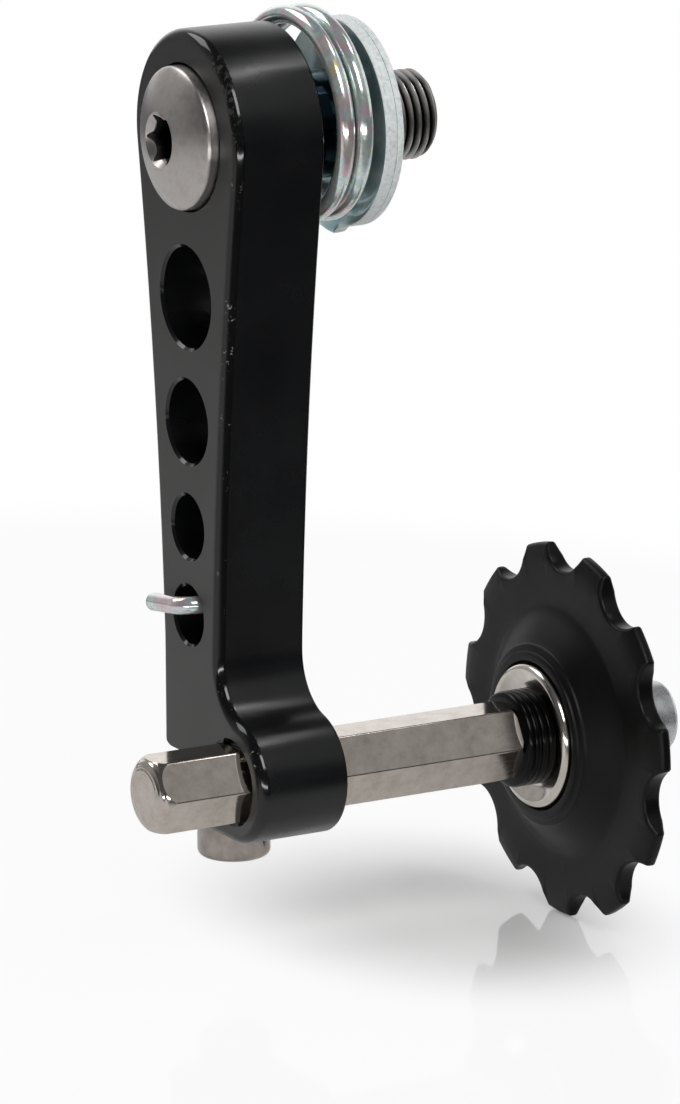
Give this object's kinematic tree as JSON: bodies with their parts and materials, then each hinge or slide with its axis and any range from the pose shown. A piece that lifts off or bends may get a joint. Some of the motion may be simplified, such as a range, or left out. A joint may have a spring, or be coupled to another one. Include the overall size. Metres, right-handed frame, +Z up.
{
  "type": "chain tensioner",
  "caption": "Spring-loaded bicycle chain tensioner: a black arm on a threaded pivot bolt, with a hexagonal bar clamped in its lower end that carries a toothed chain wheel.",
  "frame": {"origin": "on the pivot axis, where the washer behind the anchor plate seats on the bicycle's hanger", "axes": "+Y along the pivot bolt's thread into the hanger, +Z up, so the arm hangs towards -Z and the bolt's head faces -Y"},
  "size_m": [0.0428, 0.0666, 0.1053],
  "materials": {
    "arm_black": "bead-blasted, matt black anodised",
    "bolt_steel": "satin grey",
    "sleeve_steel": "polished",
    "spring_zinc": "bright zinc, clear passivated",
    "plate_zinc": "bright zinc, clear passivated",
    "mast_nickel": "satin nickel plated",
    "screw_nickel": "satin nickel plated",
    "cap_nickel": "bright nickel plated",
    "ring_black": "gloss black oxide",
    "wheel_plastic": "satin black",
    "washer_plastic": "plain",
    "bush_steel": "ground"
  },
  "bodies": {
    "hanger_side": {"pivot_bolt": "bolt_steel", "pivot_sleeve": "sleeve_steel", "head_washer": "washer_plastic", "anchor_plate": "plate_zinc", "hanger_washer": "plate_zinc"},
    "arm": {"arm": "arm_black", "clamp_screw": "screw_nickel", "torsion_spring": "spring_zinc"},
    "mast": {"mast": "mast_nickel", "spacer_ring_1": "ring_black", "spacer_ring_2": "ring_black", "spacer_ring_3": "ring_black", "spacer_ring_4": "ring_black", "dust_cap_front": "cap_nickel", "wheel_bush": "bush_steel", "dust_cap_rear": "cap_nickel", "rear_spacer": "screw_nickel", "lock_washer": "screw_nickel", "axle_screw": "screw_nickel"},
    "wheel": {"chain_wheel": "wheel_plastic"}
  },
  "joints": [
    {"name": "arm_pivot", "type": "hinge", "parent": "hanger_side", "child": "arm", "pos_m": [0, 0, 0], "axis": [0, -1, 0], "range_deg": [-15, 60], "stiffness_Nm_per_rad": 1.1, "deforming": ["torsion_spring"]},
    {"name": "mast_slide", "type": "slide", "parent": "arm", "child": "mast", "axis": [0, 1, 0], "range_m": [-0.023, 0.0085]},
    {"name": "wheel_spin", "type": "hinge", "parent": "mast", "child": "wheel", "pos_m": [0.00948, 0, -0.0704], "axis": [0, 1, 0], "continuous": true}
  ]
}
